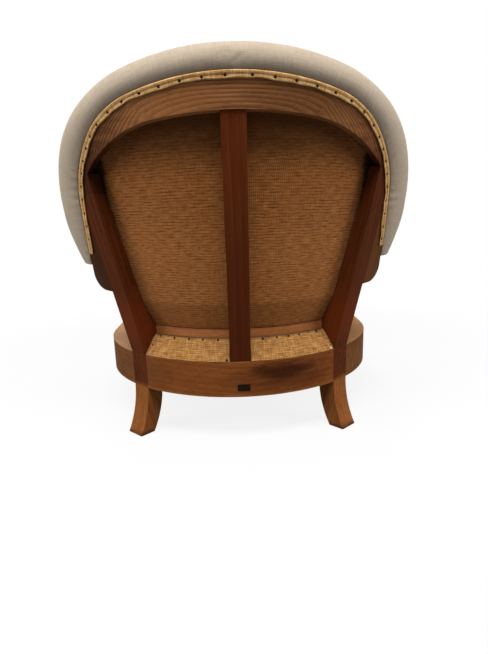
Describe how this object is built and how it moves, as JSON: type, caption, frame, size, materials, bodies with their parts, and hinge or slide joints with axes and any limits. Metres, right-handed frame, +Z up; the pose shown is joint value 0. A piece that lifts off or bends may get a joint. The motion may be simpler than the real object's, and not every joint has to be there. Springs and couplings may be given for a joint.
{
  "type": "meridienne",
  "caption": "Low upholstered meridienne in the white: long seat with round ends, sabre legs, wrapped leaning back with an arched crest, hessian rear and a thick linen edge roll.",
  "frame": {"origin": "on the floor, below the middle of the whole piece from the foot of the seat to the back's roll", "axes": "+Z up, +Y along the seat towards the back at its head, +X towards the sitter's left"},
  "size_m": [0.7098, 1.3987, 0.7355],
  "materials": {
    "frame_wood": "waxed",
    "linen": "plain weave",
    "hessian": "coarse weave",
    "jute": "coarse weave",
    "webbing": "herringbone weave",
    "stuffing": "hair",
    "spring_steel": "drawn wire",
    "plate_metal": "dark patina"
  },
  "bodies": {
    "root": {"rear_leg_left": "frame_wood", "rear_leg_right": "frame_wood", "front_leg_left": "frame_wood", "front_leg_right": "frame_wood", "rear_seat_rail": "frame_wood", "foot_seat_rail": "frame_wood", "side_seat_rail_left": "frame_wood", "side_seat_rail_right": "frame_wood", "crest_rail": "frame_wood", "wing_rail_left": "frame_wood", "wing_rail_right": "frame_wood", "wing_dowels": "frame_wood", "centre_splat": "frame_wood", "lower_back_rail": "frame_wood", "rail_plate": "plate_metal", "long_webbing": "webbing", "cross_webbing": "webbing", "seat_springs": "spring_steel", "spring_hessian": "hessian", "seat_stuffing": "stuffing", "seat_cover": "linen", "back_hessian": "hessian", "inside_back_pad": "linen", "edge_roll": "linen", "tack_strip": "jute", "rear_gusset": "jute"}
  },
  "joints": []
}
